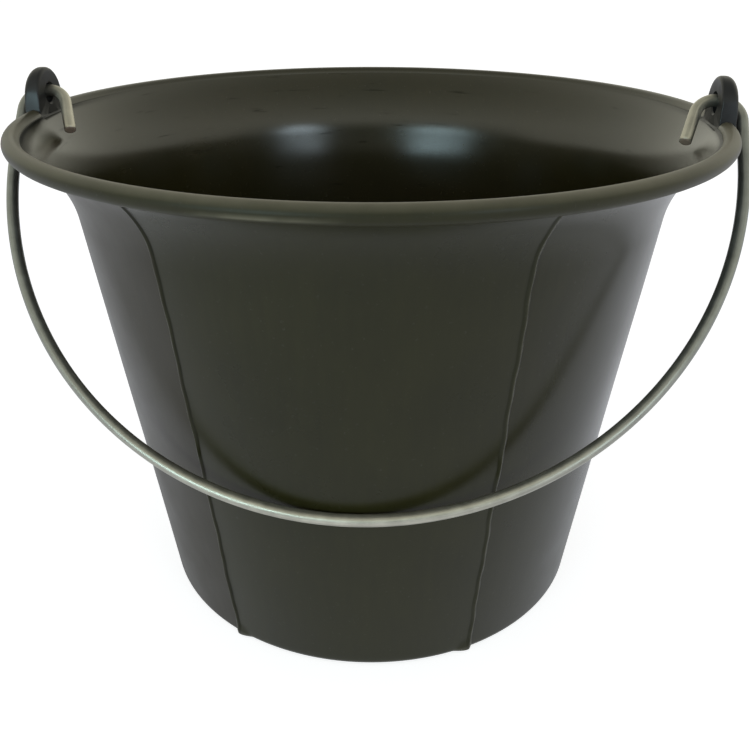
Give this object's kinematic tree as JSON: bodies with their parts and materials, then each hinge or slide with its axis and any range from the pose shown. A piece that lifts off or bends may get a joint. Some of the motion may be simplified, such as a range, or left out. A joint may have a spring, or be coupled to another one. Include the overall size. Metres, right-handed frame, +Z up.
{
  "type": "cement bucket",
  "caption": "Tapered round builder's bucket for cement and mortar, with a flared beaded rim, lugs standing on the rim and a swinging wire bail hooked through them.",
  "frame": {"origin": "on the floor, under the middle of the base", "axes": "+Z up along the bucket's axis, X through both lugs and the bail's pivot, the bail hangs down the front towards -Y"},
  "size_m": [0.344, 0.33, 0.2594],
  "materials": {
    "bucket_rubber": "satin olive-black moulded rubber",
    "lug_rubber": "satin grey-black moulded rubber",
    "bail_wire": "satin galvanised drawn wire"
  },
  "bodies": {
    "bucket": {"bucket_body": "bucket_rubber", "left_ear": "lug_rubber", "right_ear": "lug_rubber"},
    "bail": {"bail": "bail_wire"}
  },
  "joints": [
    {"name": "bail_swing", "type": "hinge", "parent": "bucket", "child": "bail", "pos_m": [0, 0, 0.2475], "axis": [-1, 0, 0], "range_deg": [0, 279]}
  ]
}
